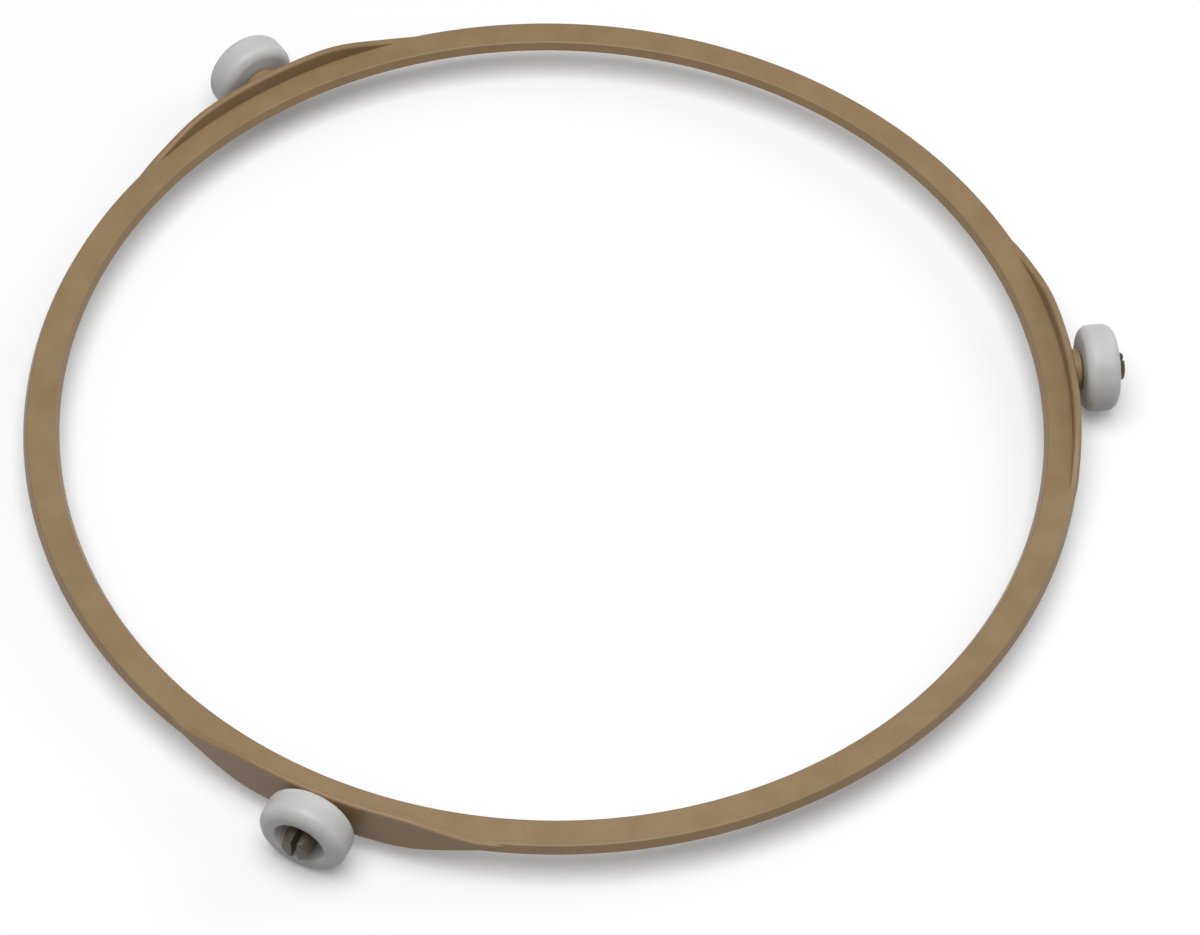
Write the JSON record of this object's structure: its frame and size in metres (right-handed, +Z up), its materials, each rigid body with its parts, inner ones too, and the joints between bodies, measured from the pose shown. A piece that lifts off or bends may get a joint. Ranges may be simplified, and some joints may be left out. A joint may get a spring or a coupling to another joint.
{
  "type": "microwave roller ring",
  "caption": "Flat moulded ring with clip-on rollers on stub axles that carries a microwave oven's glass turntable and rolls round the oven floor.",
  "frame": {"origin": "on the ring's axis, at the level of the oven floor that the rollers run on", "axes": "+Z up along the ring's axis; +X along the first roller's axle, outwards; the other rollers follow anticlockwise seen from above"},
  "size_m": [0.2133, 0.2034, 0.017],
  "materials": {
    "ring": "heat-resistant moulded plastic, brown, fine satin",
    "roller": "low-friction moulded plastic, off-white, fine satin"
  },
  "bodies": {
    "ring": {"ring": "ring"},
    "roller_1": {"roller_1": "roller"},
    "roller_2": {"roller_2": "roller"},
    "roller_3": {"roller_3": "roller"}
  },
  "joints": [
    {"name": "roller_1_spin", "type": "hinge", "parent": "ring", "child": "roller_1", "pos_m": [0.10655, 0, 0.0085], "axis": [1, 0, 0], "continuous": true},
    {"name": "roller_2_spin", "type": "hinge", "parent": "ring", "child": "roller_2", "pos_m": [-0.05328, 0.09227, 0.0085], "axis": [-0.5, 0.866, 0], "continuous": true},
    {"name": "roller_3_spin", "type": "hinge", "parent": "ring", "child": "roller_3", "pos_m": [-0.05328, -0.09227, 0.0085], "axis": [-0.5, -0.866, 0], "continuous": true}
  ]
}
